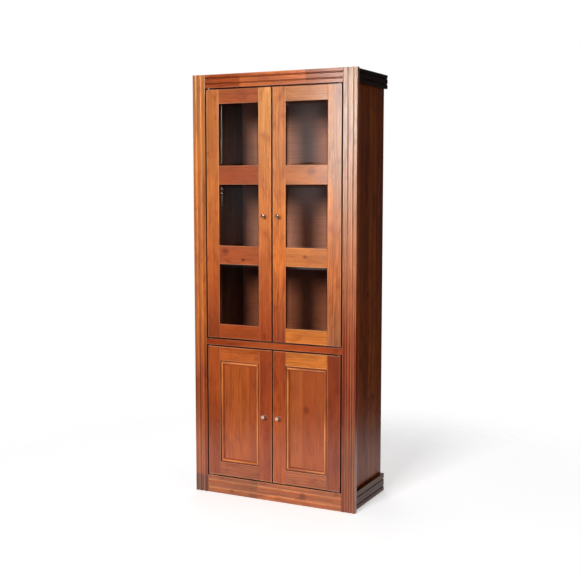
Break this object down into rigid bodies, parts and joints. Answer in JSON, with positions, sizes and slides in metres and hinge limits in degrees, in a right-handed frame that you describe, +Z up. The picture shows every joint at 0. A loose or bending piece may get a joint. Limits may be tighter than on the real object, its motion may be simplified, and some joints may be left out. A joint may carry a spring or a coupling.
{
  "type": "bookcase with glass doors",
  "caption": "Tall stained pine bookcase with fluted front posts, glazed double doors above panelled double doors, adjustable shelves and small metal knobs.",
  "frame": {"origin": "on the floor, under the middle of the whole piece with its knobs", "axes": "+Z up, +Y towards the back, front with the doors towards -Y, +X to the right seen from the front"},
  "size_m": [0.8, 0.408, 1.9],
  "materials": {
    "frame_pine": "stained pine, gloss lacquer",
    "door_pine": "stained pine, gloss lacquer",
    "carcass_pine": "stained pine, gloss lacquer",
    "plywood": "stained plywood, satin",
    "dowel_wood": "bare beech",
    "glass": "clear bevelled glass",
    "knob_metal": "brushed nickel",
    "hardware_steel": "zinc plated steel",
    "catch_plastic": "brown moulded plastic"
  },
  "bodies": {
    "carcass": {"adjustable_shelves": "carcass_pine", "back_panel": "plywood", "bottom_panel": "carcass_pine", "carcass_dowels": "dowel_wood", "carcass_screws": "hardware_steel", "cornice_strips": "frame_pine", "fixed_shelf": "carcass_pine", "frame_pivot_plates": "hardware_steel", "frieze_backing_rail": "carcass_pine", "frieze_rail": "frame_pine", "glue_blocks": "carcass_pine", "left_pilaster": "frame_pine", "left_side_panel": "carcass_pine", "magnetic_catches": "catch_plastic", "middle_rail": "frame_pine", "plinth_front": "frame_pine", "plinth_strips": "frame_pine", "rear_plinth_rail": "carcass_pine", "right_pilaster": "frame_pine", "right_side_panel": "carcass_pine", "shelf_pins": "hardware_steel", "top_panel": "carcass_pine"},
    "upper_left_door": {"upper_left_door_end_rails": "door_pine", "upper_left_door_glass_panes": "glass", "upper_left_door_glazing_beads": "door_pine", "upper_left_door_hinge_stile": "door_pine", "upper_left_door_knob": "knob_metal", "upper_left_door_meeting_stile": "door_pine", "upper_left_door_mid_rails": "door_pine", "upper_left_door_pivot_plates": "hardware_steel", "upper_left_door_screws": "hardware_steel", "upper_left_door_strike_plate": "hardware_steel"},
    "upper_right_door": {"upper_right_door_end_rails": "door_pine", "upper_right_door_glass_panes": "glass", "upper_right_door_glazing_beads": "door_pine", "upper_right_door_hinge_stile": "door_pine", "upper_right_door_knob": "knob_metal", "upper_right_door_meeting_stile": "door_pine", "upper_right_door_mid_rails": "door_pine", "upper_right_door_pivot_plates": "hardware_steel", "upper_right_door_screws": "hardware_steel", "upper_right_door_strike_plate": "hardware_steel"},
    "lower_left_door": {"lower_left_door_end_rails": "door_pine", "lower_left_door_hinge_stile": "door_pine", "lower_left_door_knob": "knob_metal", "lower_left_door_meeting_stile": "door_pine", "lower_left_door_panel": "door_pine", "lower_left_door_panel_moulding": "door_pine", "lower_left_door_pivot_plates": "hardware_steel", "lower_left_door_screws": "hardware_steel", "lower_left_door_strike_plate": "hardware_steel"},
    "lower_right_door": {"lower_right_door_end_rails": "door_pine", "lower_right_door_hinge_stile": "door_pine", "lower_right_door_knob": "knob_metal", "lower_right_door_meeting_stile": "door_pine", "lower_right_door_panel": "door_pine", "lower_right_door_panel_moulding": "door_pine", "lower_right_door_pivot_plates": "hardware_steel", "lower_right_door_screws": "hardware_steel", "lower_right_door_strike_plate": "hardware_steel"}
  },
  "joints": [
    {"name": "upper_left_hinge", "type": "hinge", "parent": "carcass", "child": "upper_left_door", "pos_m": [-0.3185, -0.169, 1.279], "axis": [0, 0, -1], "range_deg": [0, 110]},
    {"name": "upper_right_hinge", "type": "hinge", "parent": "carcass", "child": "upper_right_door", "pos_m": [0.3185, -0.169, 1.279], "axis": [0, 0, 1], "range_deg": [0, 110]},
    {"name": "lower_left_hinge", "type": "hinge", "parent": "carcass", "child": "lower_left_door", "pos_m": [-0.3185, -0.169, 0.3855], "axis": [0, 0, -1], "range_deg": [0, 110]},
    {"name": "lower_right_hinge", "type": "hinge", "parent": "carcass", "child": "lower_right_door", "pos_m": [0.3185, -0.169, 0.3855], "axis": [0, 0, 1], "range_deg": [0, 110]}
  ]
}
